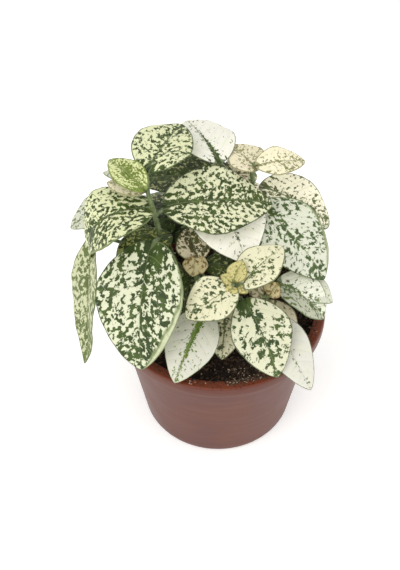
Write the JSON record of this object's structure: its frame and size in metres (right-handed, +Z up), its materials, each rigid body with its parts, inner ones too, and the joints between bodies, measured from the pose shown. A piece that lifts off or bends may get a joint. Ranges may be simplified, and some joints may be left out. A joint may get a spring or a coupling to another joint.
{
  "type": "potted polka dot plant",
  "caption": "Bushy house plant with green-speckled cream leaves on upright stems, rooted in soil in a round tapered plastic pot.",
  "frame": {"origin": "The middle of the pot's flat underside, where the pot's upright axis meets the surface it stands on.", "axes": "+Z is up along the pot's axis. -Y is the side of the plant that the picture shows, with the soil in view. +X is to the right in the picture."},
  "size_m": [0.1222, 0.1179, 0.1418],
  "materials": {
    "pot_plastic": "satin",
    "soil": "matte",
    "foliage": "satin"
  },
  "bodies": {
    "root": {"pot": "pot_plastic", "soil": "soil", "stem_left": "foliage", "stem_back": "foliage", "stem_right": "foliage", "stem_front": "foliage", "stem_side": "foliage", "stem_shaded": "foliage", "stem_far_left": "foliage", "stem_far": "foliage", "stem_far_right": "foliage"}
  },
  "joints": []
}
